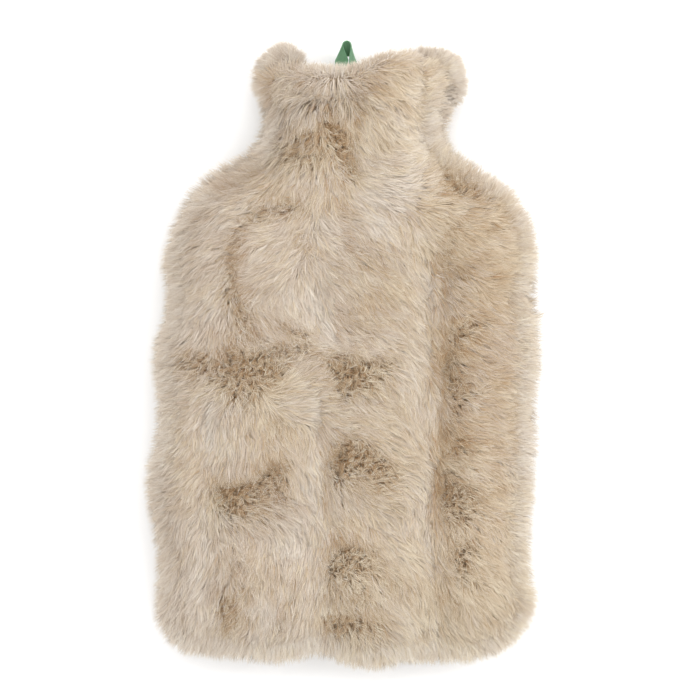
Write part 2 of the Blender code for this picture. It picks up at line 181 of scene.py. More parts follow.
BODY_MARKS = (
    (-14, 28, 9, 12, 0, -90, -12), (-9, 12, 8, 9, -30, -90, -12),
    (10, 12, 8, 10, 0, 30, 12), (18, 30, 14, 12, 0, 10, 7), (-84, -4, 7, 4, 0, 90, 26),
    (-70, -10, 10, 6, 0, 80, 14), (-60, -8, 6, 12, 0, 100, 28),
    (-48, -4, 9, 7, 0, 100, 18), (-30, 3, 12, 5, 0, 90, 20), (-37, -9, 6, 5, 0, 90, 16),
    (-28, 14, 13, 3, -35, 50, 18), (-46, 11, 6, 3, 0, 40, 12),
    (-52, -22, 12, 8, 0, 50, 10), (-4, -5, 14, 6, -5, 90, 21),
    (2, -16, 7, 9, 0, 70, 14), (21, -4, 8, 4, 0, 60, 14), (14, -10, 10, 6, 0, 50, 7),
    (-90, -28, 6, 14, 15, 20, 12), (-74, 22, 10, 8, 0, -60, -5),
    (-74, -45, 7, 18, 0, -60, -8), (-17, -35, 6, 20, 5, -70, -8),
    (-21, -75, 16, 5, -60, -70, -10), (-30, -105, 22, 9, 0, -50, -5),
    (-78, -110, 7, 30, 0, -60, -7), (-38, -67, 8, 9, 0, 110, 42),
    (-58, -80, 13, 8, 0, 100, 25), (-50, -76, 9, 5, 20, 90, 16),
    (-33, -80, 8, 5, 0, 60, 15), (-72, -72, 5, 8, -30, 30, 10),
    (-45, -88, 18, 5, 5, 30, 8), (-35, -36, 8, 4, -30, 30, 12),
    (-45, -45, 14, 8, 0, 30, 4), (5, -52, 12, 9, 0, 100, 24),
    (4, -62, 9, 7, 0, 100, 18), (18, -58, 8, 7, -20, 70, 14),
    (-3, -68, 6, 6, 0, 70, 12), (26, -68, 10, 9, 0, 40, 8), (7, -79, 6, 3, 0, 40, 10),
    (-9, -76, 3, 14, 15, 10, 14), (2, -92, 8, 10, 0, 20, 8),
    (31, -58, 22, 4, -50, -60, -8), (3, -108, 9, 5, 0, 100, 38),
    (-6, -121, 5, 8, 20, 80, 20), (6, -118, 9, 7, 0, 90, 10),
    (10, -135, 7, 3, 0, 70, 16), (10, -129, 9, 3, 0, 60, -6),
    (26, -124, 12, 5, -20, 50, 8), (34, -134, 6, 3, -35, 30, 8),
    (-3, -152, 5, 9, 0, 80, 22), (8, -150, 9, 6, 0, 80, 18),
    (22, -152, 8, 7, 0, 40, 10), (-63, -145, 5, 10, 0, 80, 26),
    (-68, -130, 6, 12, 0, 30, 10), (-55, -113, 9, 6, 0, 50, 12),
    (-28, -129, 3, 6, 0, 50, 17), (-38, -122, 8, 5, 0, 40, 6),
    (-36, -145, 4, 4, 0, 70, 26), (-97, -100, 5, 40, 0, 0, 5),
    (40, -150, 14, 7, 0, -60, -8), (45, -85, 5, 40, 0, -90, -7),
    (44, 20, 6, 30, 0, -80, -5), (30, -95, 12, 14, 0, -50, -4),
    (-62, -50, 15, 14, 0, -90, -5), (-25, -102, 10, 20, 0, -70, -5),
    (-80, -132, 10, 14, 0, -70, -3), (-66, 2, 22, 8, 0, 40, 8),
    (-50, -12, 16, 8, 10, 50, 10), (6, -12, 15, 10, 0, 70, 12),
    (20, -66, 12, 10, 0, 60, 9), (1, 18, 4, 12, 0, 30, 12),
    (-28, 16, 13, 5, -35, 50, 10), (8, -112, 11, 9, 0, 60, 8),
    (-55, -74, 20, 8, 5, 50, 8), (6, -146, 12, 9, 0, 50, 6),
    (-58, -130, 9, 12, 0, 40, 8),
)
# Painted shade down the valley and over the right side, and painted light along the
# right and bottom rims
VALLEY_MARKS = (
    (52, -75, 3, 26, 0, 0, 12), (60, -5, 6, 10, 0, 90, 26), (66, 12, 6, 7, 0, 80, 20),
    (72, 18, 6, 4, 0, 50, 10), (80, 22, 5, 3, 0, 30, 12), (60, 35, 8, 14, 0, 30, 8),
    (65, -28, 4, 10, -10, 50, 18), (58, -38, 5, 12, 0, 20, 8),
    (67, -51, 7, 8, -30, 90, 26), (57, -65, 5, 6, 0, 70, 17),
    (61, -77, 8, 6, 0, 90, 24), (62, -90, 9, 7, 0, 50, 12), (67, -108, 7, 6, 0, 80, 20),
    (66, -118, 5, 6, 0, 60, 16), (72, -125, 8, 5, -30, 40, 10),
    (60, -137, 6, 8, 0, 30, 10), (85, -52, 10, 3, -30, 20, 10),
    (80, 10, 22, 90, 0, 0, 16), (66, -80, 12, 9, 0, 70, 12),
    (66, -16, 10, 8, 0, 60, 12), (57, -30, 6, 60, 0, 0, 6),
    (104, -20, 9, 110, 0, 0, -10), (0, -166, 90, 9, 0, 0, -10),
)
MARKS = NECK_MARKS + SHOULDER_MARKS + BODY_MARKS + VALLEY_MARKS

# Wisps of pile that stray past the outline: place and reach, in millimetres
WISP_COLUMNS = ("x", "y", "reach")
WISPS = (
    (109, 22, 6), (110, 8, 2.5), (111, -40, 3), (112, -141, 2.5), (94, 84, 2),
    (-86, 96, 2), (-109, 40, 1.5),
)
WISP_SIZE = 7.0
WISP_NARROW = 1.6  # a wisp is this much narrower along the edge
WISP_LOCKS = 0.4  # locks below this chance value stay short

# Slope of a strand above its backing in its two stretches, in degrees
STRETCHES = (0.46, 0.54)
PRESSED_SLOPES = (32, 1)
COMBED_SLOPES = (57, 5)
PARTED_SLOPES = (74, 40)
CURL = 0.35  # how far a lock bends sideways between the two, in radians
CURL_SIZE, CURL_SPREAD, CURL_START = 0.0035, 0.3, 0.3
FAN_SLOPE = (0.02, 0.42)  # mean and spread of what fanning adds to the slopes
FAN_SHARES = (1.1, 0.9)  # of it in each of the two stretches

# How unevenly locks grow, and strands within a lock
LOCK_STAND, STRAND_STAND = 0.4, 0.08
LOCK_LENGTH, STRAND_LENGTH = 0.2, 0.07
STRAND_SWING, WOBBLE_SWING = 0.06, 0.1  # radians, always and by the wobble
PRESSED_SHORT, PIT_SHORT = 0.18, 0.5  # pressed and sunken pile is shorter
DEEP_STAND, DEEP_ROOM = 0.8, 0.004  # pile stands up where it has more room
FINE_FROM = 0.25  # pile that stands more than this has fine locks
LEAST_ROOM, LEAST_LEVEL, LEAST_TOWARDS, LEAST_KEPT = 0.001, 0.003, 0.05, 0.3
ROLL = 0.4  # turn of a strand about its length, in radians
DRAW_POWER = 1.2  # how late the strands of a lock draw together
SOFTENED = 10  # passes of blur under the pile's shading
FAN_LIGHT = 0.9  # fanned pile is shaded as if it faced this much more upward

# Weights of the front's pile: everywhere, in a tuft, and where it is pressed flat
WOBBLE = (0.2, 1.6, -0.14)  # how far locks swing, in radians
TUFT_POWER = 1.3
TONE = (0.56, 0.06, 0.02)  # from 0, the palette's dark end, to 1, its pale end
LOCK_TONE = (0.24, 0.34, -0.2)  # contrast between locks
STRAND_TONE = (0.1, 0.2, -0.05)  # contrast between strands
GREY_MORE = (0.0, -1.1, 0.6)
# Sunken pit strands are painted darker: painted shade deep in the parted pile
# The rim's strands are painted paler: painted light shining through the fringe
PAINTED_PIT_SHADE, PAINTED_RIM_LIGHT = -0.78, 0.12
MARK_TONE = (0.6, 1.2)  # of a mark's shade, always and by the lock's chance value
RIM_THIN, TUFT_THIN, FAN_THIN = 0.45, 0.22, 0.4
PULL, PULL_PART, PULL_LIMITS, FAN_LOOSE = 0.32, 0.3, (0.1, 0.56), 0.8
OUTWARD, MOUTH_OUTWARD = 0.4, 0.2  # least share of the outward turn while fanning
OUTWARD_MORE, OUTWARD_FROM, OUTWARD_MOST = 0.6, 0.5, 0.9
SHOWS_FROM, RIM_SPAN, SPILL_SPAN = 0.002, 0.006, 0.004  # of the other panel beyond
FACING_NECK = 0.5  # share of the edge's outward way that counts as the hem

# The palette's grey family takes more strands towards the left and by these shares
GREY, GREY_RISE, GREY_EXTRA, GREY_LIMITS = 0.48, 3.0, 0.45, (0.05, 0.9)
TONE_SPREAD, TONE_LIMITS, WIDTH_LIMITS = 0.05, (0.02, 0.98), (0.7, 1.3)
FAMILY_START, FAMILY_SPAN, FAMILY_STEP = 0.01, 0.48, 0.5
UV_MARGIN, UV_SPAN, UV_WIDTH = 0.02, 0.96, 0.004

# Smooth noise, in rows of: strength, size of its features, layer
PARTING_NOISE = ((0.28, 0.012, 1), (0.22, 0.005, 2))
PARTING_SHARES = (0.9, 0.45, 0.5)  # of the marks, of the noise, and of both together
TONE_NOISE = ((0.06, 0.012, 0), (0.07, 0.004, 1))
GREY_NOISE = ((0.35, 0.03, 1), (0.25, 0.009, 3))
SWAY, FINE_SWAY, PRESSED_CALM = ((0.26, 0.014, 3),), ((0.2, 0.005, 0),), 0.75
FAN_NOISE, FAN_CHANCE = ((0.2, 0.008, 2),), 0.18
BACK_SWAY, BACK_TONE_NOISE = ((0.3, 0.018, 3),), ((0.06, 0.012, 0),)
COLLAR_SWAY, COLLAR_TONE_NOISE = ((0.3, 0.012, 2),), ((0.1, 0.005, 1),)

# The pile below lies towards the foot
BACK_WAY = (0.0, -1.0)
# Fanned strands at the edge are painted paler: painted light shining through the fringe
BACK_TONE, BACK_LOCK_TONE, PAINTED_BACK_FAN_LIGHT = 0.56, 0.15, 0.2
BACK_PULL, BACK_LOOSE, BACK_WOBBLE, BACK_OUTWARD = 0.4, 0.5, 0.18, 0.6

# The pile on the collar's inside
COLLAR_X, COLLAR_Y, COLLAR_TRIES = (-0.075, 0.075), (0.1, 0.19), 40
COLLAR_OVERLAP = 0.006  # its roots go on this far under the front's edge
COLLAR_STAND, COLLAR_FAN, COLLAR_WOBBLE, COLLAR_OUTWARD = -0.3, 0.6, 0.35, 0.4
COLLAR_PULL, COLLAR_LOOSE, COLLAR_GREY, COLLAR_SPREAD = 0.45, 0.15, 0.5, 0.08
# Fanned collar strands are painted paler: painted light shining through the fringe
COLLAR_TONE, COLLAR_LOCK_TONE, PAINTED_COLLAR_FAN_LIGHT = 0.62, 0.35, 0.1
# The right ear's pile is painted paler: painted light over the shade beside the front's
# edge
RIGHT_TONE, RIGHT_RISE, PAINTED_EAR_LIGHT, EAR_X, EAR_RISE = -0.1, 0.04, 0.16, 0.048, 0.012

# Ribbon loop: the same ribs as in the solids, in millimetres
RIBBON_WIDTH = 0.011
RIBBON_THICKNESS = 0.0004
LOOP_ACROSS = 0.0025
LOOP_TOP = 0.1788
LOOP_BASE = 0.0073
RIB_COLUMNS = ("upper_out", "upper_down", "lower_out", "lower_down")
TOP_RIB = (0.0, 0.0, 0.0, 8.0)
LEFT_RIBS = (
    (1.8, 0.7, 4.2, 8.3), (2.5, 2.4, 6.3, 9.7), (1.7, 4.8, 6.8, 12.3),
    (0.5, 7.8, 6.7, 14.8), (-0.6, 10.8, 6.6, 17), (-0.4, 14, 7.3, 19.8),
    (1, 18, 9.3, 22.5), (2.6, 23, 11.8, 26), (3.5, 28, 13.3, 29),
)
RIGHT_RIBS = (
    (1.5, 0.7, 3.2, 8.3), (2.3, 2.4, 4.6, 10.2), (2.2, 4.7, 5.8, 12.3),
    (1.7, 7.6, 6.3, 14.8), (1.4, 10.8, 6.6, 17.6), (1.8, 14, 7.8, 20.4),
    (2.4, 18, 9.6, 24), (3.4, 23, 12, 27), (3.8, 28, 13.5, 29.5),
)
RIB_STEPS = 6
RIBBON_STRIPS = 10
SELVEDGE, SELVEDGE_FROM = 1.5, 0.42  # the ribbon's edges are thicker

chance = np.random.default_rng(7)


def ease(value, start=0, end=1):
    """0 up to the start, 1 from the end on, and smooth between them."""
    t = np.clip((value - start) / (end - start), 0, 1)
    return t * t * (3 - 2 * t)


def unit(v):
    return v / np.maximum(np.linalg.norm(v, axis=-1, keepdims=True), 1e-12)


def linked(name, data):
    obj = bpy.data.objects.new(name, data)
    bpy.context.scene.collection.objects.link(obj)
    return obj


def rows_of(table, columns):
    """The table's rows, each as a dictionary of its named columns."""
    return [dict(zip(columns, row)) for row in table]


def weighed(weights, tuft, flat):
    usual, tufted, pressed = weights
    return usual + tufted * tuft + pressed * flat


# ---- plan maps

def read(field, x, y):
    """A plan map's value at each point, between its cells."""
    i = np.clip((x - MAP_X[0]) / CELL, 0, len(MAP_X) - 1.001)
    j = np.clip((y - MAP_Y[0]) / CELL, 0, len(MAP_Y) - 1.001)
    i0, j0 = i.astype(int), j.astype(int)
    fi, fj = i - i0, j - j0
    near = field[j0, i0] * (1 - fi) + field[j0, i0 + 1] * fi
    far = field[j0 + 1, i0] * (1 - fi) + field[j0 + 1, i0 + 1] * fi
    return near * (1 - fj) + far * fj


def blurred(field, times):
    for _ in range(times):
        for axis in (0, 1):
            padded = np.concatenate(
                [field.take([0], axis), field, field.take([-1], axis)], axis
            )
            size = field.shape[axis]
            parts = [padded.take(range(k, k + size), axis) for k in range(3)]
            field = (parts[0] + 2 * parts[1] + parts[2]) / 4
    return field


def spread_past(field, known, steps=24):
    """Carries a map's values past the edge of where they are known."""
    field, known = np.where(known, field, 0.0), known.copy()
    for _ in range(steps):
        total, count = np.zeros(field.shape), np.zeros(field.shape)
        for axis, step in ((0, 1), (0, -1), (1, 1), (1, -1)):
            total += np.roll(field * known, step, axis)
            count += np.roll(known, step, axis)
        grow = ~known & (count > 0)
        field[grow] = total[grow] / count[grow]
        known |= grow
    return field


def edge_depth(inside):
    """How far each cell lies inside the outline, negative outside it."""
    x, y = np.meshgrid(MAP_X, MAP_Y)
    rim = []
    for axis, dx, dy in ((1, CELL / 2, 0), (0, 0, CELL / 2)):
        j, i = np.nonzero(np.diff(inside, axis=axis))
        rim.append(np.stack([MAP_X[i] + dx, MAP_Y[j] + dy], 1))
    rim = np.concatenate(rim)
    nearest = np.full(x.size, FAR_OFF)
    points = np.stack([x.ravel(), y.ravel()], 1)
    for part in np.array_split(rim, 3 * BATCHES):
        gap = points[:, None, :] - part[None, :, :]
        nearest = np.minimum(nearest, np.sqrt((gap**2).sum(2)).min(1))
    return blurred(np.where(inside, 1, -1) * nearest.reshape(x.shape), 2)


class PlanMaps:
    """Outer height, inner height and outline of one solid, seen in plan."""

    def __init__(self, node):
        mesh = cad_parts[node].data
        tree = BVHTree.FromPolygons(
            [v.co for v in mesh.vertices], [p.vertices for p in mesh.polygons]
        )
        shape = (len(MAP_Y), len(MAP_X))
        self.high, self.low = np.zeros(shape), np.zeros(shape)
        inside = np.zeros(shape, bool)
        down, up = Vector((0, 0, -1)), Vector((0, 0, 1))
        for j, y in enumerate(MAP_Y):
            for i, x in enumerate(MAP_X):
                hit = tree.ray_cast(Vector((x, y, MAP_TOP)), down)[0]
                if hit is None:
                    continue
                inside[j, i] = True
                self.high[j, i] = hit.z
                self.low[j, i] = tree.ray_cast(Vector((x, y, MAP_BOTTOM)), up)[0].z
        self.high = spread_past(self.high, inside)
        self.low = spread_past(self.low, inside)
        self.depth = edge_depth(inside)
        dy, dx = np.gradient(blurred(self.depth, 6), CELL)
        length = np.maximum(np.hypot(dx, dy), 1e-6)
        self.out_x, self.out_y = -dx / length, -dy / length


def mouthness(y):
    return ease(y, MOUTH_FROM, MOUTH_TO)


def inset(y):
    """How far inside the outline the backing ends."""
    return SIDE_INSET + (MOUTH_INSET - SIDE_INSET) * mouthness(y)


front = PlanMaps("front_panel")
back = PlanMaps("back_panel")
FRONT_OUTER, BACK_OUTER = blurred(front.high, 2), blurred(back.low, 2)
PLAN_Y = np.meshgrid(MAP_X, MAP_Y)[1]


def seam_share(maps):
    """1 at the sewn edge of a backing and 0 well inside it."""
    return (1 - np.clip((maps.depth - inset(PLAN_Y)) / SEAM_RISE, 0, 1)) ** 2


def front_backing_top():
    low = blurred(front.low, 3) + BACKING_GAP + BACKING
    laid = np.maximum(low, blurred(front.high, 3) - PILE_HEIGHT)
    seam = np.minimum(low, blurred(back.high, 3) + 3 * BACKING_GAP + BACKING)
    mouth = blurred(ease(front.out_y, *MOUTH_FACING) * mouthness(PLAN_Y), 3)
    return laid + (seam - laid) * seam_share(front) * (1 - mouth)


def back_backing_bottom():
    high = blurred(back.high, 3) - BACKING_GAP - BACKING
    laid = np.minimum(high, blurred(back.low, 3) + PILE_HEIGHT)
    ear = blurred(ease((CELL - front.depth) / EAR_EDGE), 3)
    return laid + (high - PILE_HEIGHT * ear - laid) * seam_share(back)


FRONT_CLOTH = front_backing_top()
BACK_CLOTH = back_backing_bottom()


def slope_normals(field, x, y, side):
    """Unit normals of a height map, up for side 1 and down for side -1."""
    step = 2 * CELL
    dx = (read(field, x + step, y) - read(field, x - step, y)) / (2 * step)
    dy = (read(field, x, y + step) - read(field, x, y - step)) / (2 * step)
    return unit(np.stack([-dx, -dy, np.ones(len(x))], 1)) * side


# ---- smooth noise

LATTICE_SIZE = 256
LATTICE = chance.random((LATTICE_SIZE, LATTICE_SIZE, 4))


def lattice(i, j):
    """Four chance values for each cell of an endless grid."""
    return LATTICE[j % LATTICE_SIZE, i % LATTICE_SIZE]


def noise(x, y, size, layer):
    """Smooth noise from -1 to 1 with features of this size."""
    i, j = x / size + 500.3, y / size + 500.7
    i0, j0 = np.floor(i).astype(int), np.floor(j).astype(int)
    fi, fj = ease(i - i0), ease(j - j0)
    near, far = (
        lattice(i0, row)[:, layer] * (1 - fi) + lattice(i0 + 1, row)[:, layer] * fi
        for row in (j0, j0 + 1)
    )
    return 2 * (near * (1 - fj) + far * fj) - 1


def clouds(x, y, table):
    return sum(strength * noise(x, y, size, layer) for strength, size, layer in table)


def clumps(x, y, size):
    """Middle and two chance values of the lock that each strand belongs to."""
    i, j = np.floor(x / size).astype(int), np.floor(y / size).astype(int)
    best = np.full(x.shape, FAR_OFF)
    middle = np.zeros((*x.shape, 2))
    values = np.zeros((*x.shape, 2))
    for di in (-1, 0, 1):
        for dj in (-1, 0, 1):
            cell = lattice(i + di, j + dj)
            cx = (i + di + cell[..., 0]) * size
            cy = (j + dj + cell[..., 1]) * size
            far = np.hypot(x - cx, y - cy)
            nearer = far < best
            best = np.where(nearer, far, best)
            middle[nearer] = np.stack([cx, cy], -1)[nearer]
            values[nearer] = cell[..., 2:][nearer]
    return middle, values


# ---- the combing

def combed(x, y):
    """Unit heading in plan at each place, blended from the table. Where the table's
    headings disagree, strands take one of them by chance, so that the pile crosses."""
    table = dict(zip(COMB_COLUMNS, np.array(COMB, float).T))
    heading = np.radians(table["heading"])
    ways = np.stack([np.cos(heading), np.sin(heading)], 1)
    reach = np.where(table["y"] > HEM, HEM_REACH, COMB_REACH)
    found = []
    for mm in np.array_split(np.stack([x, y], 1) * 1000, BATCHES):
        gap = (mm[:, :1] - table["x"]) ** 2 + (mm[:, 1:] - table["y"]) ** 2
        weight = np.exp(-gap / (2 * reach**2)) + FAINT / (gap + 1)
        total = weight.cumsum(1)
        mean = weight @ ways / total[:, -1:]
        agreed = np.linalg.norm(mean, axis=1, keepdims=True)
        drawn = chance.random((len(mm), 1)) * total[:, -1:]
        picked = ways[(total < drawn).sum(1).clip(0, len(ways) - 1)]
        crossing = ease(agreed, *AGREEMENT)
        found.append(unit(unit(mean) * (1 - crossing) + picked * crossing * CROSSING))
    return np.concatenate(found)


def marked(column, x, y):
    """Sum of one column of the soft spots."""
    total = np.zeros(x.shape)
    for spot in rows_of(MARKS, MARK_COLUMNS):
        turn = math.radians(spot["turn"])
        c, s = math.cos(turn), math.sin(turn)
        dx, dy = x * 1000 - spot["x"], y * 1000 - spot["y"]
        far = ((c * dx + s * dy) / spot["reach_x"]) ** 2
        far += ((c * dy - s * dx) / spot["reach_y"]) ** 2
        total += spot[column] / 100 * np.exp(-far)
    return total


def wisps(x, y):
    """How far the pile strays past the outline near the wisps."""
    total = np.zeros(x.shape)
    for wisp in rows_of(WISPS, WISP_COLUMNS):
        dx, dy = x * 1000 - wisp["x"], y * 1000 - wisp["y"]
        gap = np.hypot(dx, dy * WISP_NARROW) / WISP_SIZE
        total += wisp["reach"] / 1000 * np.exp(-(np.maximum(gap - 1, 0) ** 2))
    return total


def parting(x, y):
    """1 where the pile parts, -1 where it is pressed flat."""
    total = marked("stand", x, y)
    marks, always, both = PARTING_SHARES
    ragged = clouds(x, y, PARTING_NOISE) * (always + both * np.abs(total))
    return np.clip(marks * total + ragged, -1, 1)


def turned(heading, angle):
    c, s = np.cos(angle), np.sin(angle)
    x, y = heading[:, 0], heading[:, 1]
    return np.stack([c * x - s * y, s * x + c * y], 1)


def slopes_at(part):
    """Slopes of the two stretches of each strand, in radians."""
    pressed, laid, stood = np.radians((PRESSED_SLOPES, COMBED_SLOPES, PARTED_SLOPES))
    p = part[:, None]
    return laid + np.where(p < 0, laid - pressed, stood - laid) * p


# ---- strands to meshes

STATIONS = np.concatenate([[0], np.cumsum(STRETCHES)])
OWN_NORMAL = 0.40  # share of a strand's own facing in its shading
ENDS = ((0, 1), (0, 2), (1, 2))  # stations between which it faces its own way
# Corners of a strand, each with its station, side and taper, and its faces
BLADE = (((0, -1, 0.85), (0, 1, 0.85), (1, -1, 1), (1, 1, 1), (2, 0, 0)),
         ((0, 1, 3, 2), (2, 3, 4)))
HAIR = (((1, -1, 1), (1, 1, 1), (2, 0, 0)), ((0, 1, 2),))


def fill(data, name, values, kind=np.int32):
    data.foreach_set(name, values.astype(kind).ravel())


def strand_mesh(name, strands, chosen, shape):
    """One mesh of flat tapered strands."""
    corners, faces = shape
    station, side, taper = (np.array(column) for column in zip(*corners))
    paths, sides, widths, tones, normals = (
        strands[k][chosen] for k in ("paths", "sides", "widths", "tones", "normals")
    )
    count, around = len(paths), np.concatenate(faces)
    offsets = side * taper / 2
    half = sides[:, None, :] * (widths[:, None] * offsets)[:, :, None]
    mesh = bpy.data.meshes.new(name)
    mesh.vertices.add(count * len(corners))
    fill(mesh.vertices, "co", paths[:, station] + half, np.float32)
    loops = (np.arange(count) * len(corners))[:, None] + around
    mesh.loops.add(loops.size)
    fill(mesh.loops, "vertex_index", loops)
    mesh.polygons.add(count * len(faces))
    first = np.cumsum([0] + [len(face) for face in faces[:-1]])
    fill(mesh.polygons, "loop_start", (np.arange(count) * len(around))[:, None] + first)
    mesh.update(calc_edges=True)
    u = tones[:, None] + side[around] * UV_WIDTH
    v = np.broadcast_to(UV_MARGIN + UV_SPAN * STATIONS[station][around], u.shape)
    for layer in ("strand", "OFBake"):
        uv = mesh.uv_layers.new(name=layer)
        fill(uv.data, "uv", np.stack([u, v], 2), np.float32)
    mesh.shade_smooth()
    tangents = np.stack([paths[:, b] - paths[:, a] for a, b in ENDS], 1)
    own = unit(np.cross(sides[:, None, :], tangents))
    normals = unit(own * OWN_NORMAL + normals * (1 - OWN_NORMAL))
    normals = normals[:, station].reshape(-1, 3)
    mesh.normals_split_custom_set_from_vertices(normals.astype(np.float32))
    mesh.materials.append(FUR)
    return linked(name, mesh)


def shaded(paths, outer, side, fan):
    """The pile's shading: the solid's softened facing, more upward while fanning."""
    soft = blurred(outer, SOFTENED)
    x, y = paths[:, :, 0].T, paths[:, :, 1].T
    normals = np.stack([slope_normals(soft, *at, side) for at in zip(x, y)], 1)
    normals[:, :, 2] += FAN_LIGHT * side * fan[:, None]
    return normals


def grow(maps, x, y, height, outer, side, heading, stand, fan, reach, pull, wobble):
    """Strands rooted on a height map and ending at the outer map or the outline.
    side is 1 for pile on top and -1 for pile below."""
    count = len(x)
    middle, luck = clumps(x, y, LOCK)
    fine_middle, fine_luck = clumps(x, y, FINE_LOCK)
    fine = stand > FINE_FROM
    middle[fine], luck[fine] = fine_middle[fine], fine_luck[fine]
    swing = (luck[:, 0] - 0.5) * 2 * wobble
    swing += chance.normal(0, STRAND_SWING + WOBBLE_SWING * wobble, count)
    heading = turned(heading, swing)
    normal = slope_normals(height, x, y, side)
    flat = np.concatenate([heading, np.zeros((count, 1))], 1)
    along = unit(flat - (flat * normal).sum(1, keepdims=True) * normal)
    room = np.maximum((read(outer, x, y) - read(height, x, y)) * side, LEAST_ROOM)
    stand = stand + DEEP_STAND * np.clip((room - PILE_HEIGHT) / DEEP_ROOM, 0, 1)
    stand += (luck[:, 1] - 0.5) * LOCK_STAND + chance.normal(0, STRAND_STAND, count)
    slopes = slopes_at(np.clip(stand, -1, 1))
    slopes += (fan * chance.normal(*FAN_SLOPE, count))[:, None] * FAN_SHARES
    mean = slopes @ STRETCHES
    out = way_out(maps, x, y)
    towards = np.maximum((heading * out).sum(1), LEAST_TOWARDS)
    stray = wisps(x, y) * (luck[:, 0] > WISP_LOCKS)
    reach = reach + stray
    level = np.maximum(read(maps.depth, x, y) + reach, LEAST_LEVEL) / towards
    length = 1 / np.hypot(np.cos(mean) / level, np.sin(mean) / room)
    length = np.minimum(length, PILE + (EDGE_PILE - PILE) * fan + stray)
    pressed = PRESSED_SHORT * np.clip(-stand, 0, 1)
    length *= 1 - pressed + LOCK_LENGTH * (luck[:, 1] - 0.5)
    length *= 1 + chance.normal(0, STRAND_LENGTH, count)
    pit = np.clip(stand, 0, 1) * (luck[:, 1] < PITS) * (1 - fan)
    length *= 1 - PIT_SHORT * pit
    curl = 2 * noise(x, y, CURL_SIZE, 1) + chance.normal(0, CURL_SPREAD, count)
    root = np.stack([x, y, read(height, x, y)], 1)
    paths = [root]
    for k, share in enumerate(STRETCHES):
        a = slopes[:, k : k + 1]
        turn = CURL * curl[:, None] * (k - CURL_START)
        bent = along * np.cos(turn) + np.cross(normal, along) * np.sin(turn)
        step = bent * np.cos(a) + normal * np.sin(a)
        paths.append(paths[-1] + step * (length * share)[:, None])
    paths = np.stack(paths, 1)
    past = -read(maps.depth, paths[:, 2, 0], paths[:, 2, 1]) - reach
    past -= chance.exponential(FRINGE, count)
    across = np.linalg.norm(paths[:, 2, :2] - root[:, :2], axis=1)
    kept = np.clip(1 - np.maximum(past, 0) / across, LEAST_KEPT, 1)
    paths = root[:, None] + (paths - root[:, None]) * kept[:, None, None]
    cx, cy = middle[:, 0], middle[:, 1]
    gap = np.stack([x - cx, y - cy, root[:, 2] - read(height, cx, cy)], 1)
    draw = STATIONS**DRAW_POWER
    paths -= gap[:, None, :] * (pull[:, None] * draw[None, :])[:, :, None]
    roll = chance.normal(0, ROLL, count)[:, None]
    sides = unit(np.cross(along, normal)) * np.cos(roll) + normal * np.sin(roll)
    facing = (np.cross(sides, paths[:, 2] - paths[:, 1]) * normal).sum(1, keepdims=True)
    return {
        "paths": paths,
        "sides": np.where(facing < 0, -sides, sides),
        "normals": shaded(paths, outer, side, fan),
        "luck": luck,
        "pit": pit,
    }


# ---- materials

def new_material(name):
    material = bpy.data.materials.new(name)
    material.use_nodes = True
    nodes = material.node_tree.nodes
    return material, nodes, material.node_tree.links, nodes["Principled BSDF"]


def ramp(nodes, stops):
    node = nodes.new("ShaderNodeValToRGB")
    elements = node.color_ramp.elements
    while len(elements) < len(stops):
        elements.new(0.5)
    for element, (place, colour) in zip(elements, stops):
        element.position = place
        element.color = (*colour, 1)
    return node


def srgb(r, g, b):
    return tuple(((c / 255 + 0.055) / 1.055) ** 2.4 for c in (r, g, b))


def set_inputs(node, values):
    for name, value in values.items():
        node.inputs[name].default_value = value


def maths(nodes, links, operation, a, b):
    """b is a number or another node's output."""
    node = nodes.new("ShaderNodeMath")
    node.operation = operation
    links.new(a, node.inputs[0])
    if isinstance(b, (int, float)):
        node.inputs[1].default_value = b
    else:
        links.new(b, node.inputs[1])
    return node.outputs[0]


def mixed(nodes, links, factor, a, b):
    node = nodes.new("ShaderNodeMix")
    node.data_type = "RGBA"
    for socket, name in ((factor, "Factor"), (a, "A"), (b, "B")):
        links.new(socket, node.inputs[name])
    return node.outputs["Result"]


def wave(nodes, links, vector, direction, values):
    node = nodes.new("ShaderNodeTexWave")
    node.bands_direction = direction
    set_inputs(node, values)
    links.new(vector, node.inputs["Vector"])
    return node.outputs["Fac"]


def woven(nodes, links, shader, height, dark, pale, relief):
    """Relief that follows one height, with colour painted darker where it is low:
    painted shade in the hollows.
    """
    shade = ramp(nodes, ((0, srgb(*dark)), (1, srgb(*pale))))
    links.new(height, shade.inputs["Fac"])
    links.new(shade.outputs["Color"], shader.inputs["Base Color"])
    bump = nodes.new("ShaderNodeBump")
    set_inputs(bump, relief)
    links.new(height, bump.inputs["Height"])
    links.new(bump.outputs["Normal"], shader.inputs["Normal"])


# Colour of a strand from root to tip, for each family's dark and pale end. Strands
# darken towards the root, most at the dark ends: painted shade deep in the pile.
FUR_STOPS = (0.0, 0.40, 0.75, 1.0)
WARM_DARK = ((112, 74, 40), (142, 103, 62), (169, 135, 95), (188, 161, 125))
WARM_PALE = ((204, 188, 162), (220, 207, 182), (235, 226, 205), (247, 240, 222))
GREY_DARK = ((112, 77, 46), (146, 111, 76), (170, 141, 109), (190, 165, 138))
GREY_PALE = ((200, 187, 171), (218, 208, 195), (234, 227, 216), (244, 240, 232))


